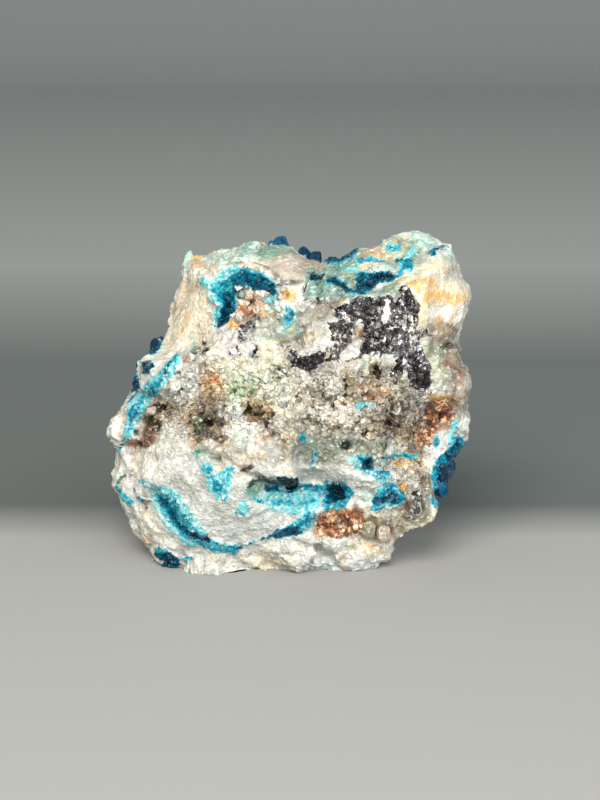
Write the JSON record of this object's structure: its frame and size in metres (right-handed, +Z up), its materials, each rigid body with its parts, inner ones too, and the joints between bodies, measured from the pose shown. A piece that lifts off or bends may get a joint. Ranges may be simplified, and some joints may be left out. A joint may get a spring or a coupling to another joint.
{
  "type": "veszelyite specimen",
  "caption": "Thumbnail mineral specimen: broken quartz rock with blue veszelyite crystals and crusts, a dark sulphide patch and rust stain, standing on a flat broken face",
  "frame": {"origin": "a point on the flat broken face that the specimen stands on, below the middle of the pictured front", "axes": "+Z up; the pictured front faces -Y; the greatest width runs along X"},
  "size_m": [0.0225, 0.0169, 0.0193],
  "materials": {
    "quartz": "milky broken quartz with cream, mint and rust stains, slightly glassy",
    "sulphide": "dark grey metallic cleavage faces",
    "veszelyite": "deep greenish blue, glassy crystal faces",
    "limonite": "matt rust-brown crumbly crust"
  },
  "bodies": {
    "root": {"quartz_matrix": "quartz", "sulphide_mass": "sulphide", "veszelyite_arc_crust": "veszelyite", "veszelyite_ridge_crust": "veszelyite", "veszelyite_vug_crust": "veszelyite", "veszelyite_left_stripe": "veszelyite", "veszelyite_seam_crust": "veszelyite", "veszelyite_foot_crust": "veszelyite", "veszelyite_back_crust": "veszelyite", "veszelyite_crest_crystal_left": "veszelyite", "veszelyite_crest_crystal_right": "veszelyite", "veszelyite_side_cluster": "veszelyite", "limonite_side_crust": "limonite", "limonite_base_crust": "limonite"}
  },
  "joints": []
}
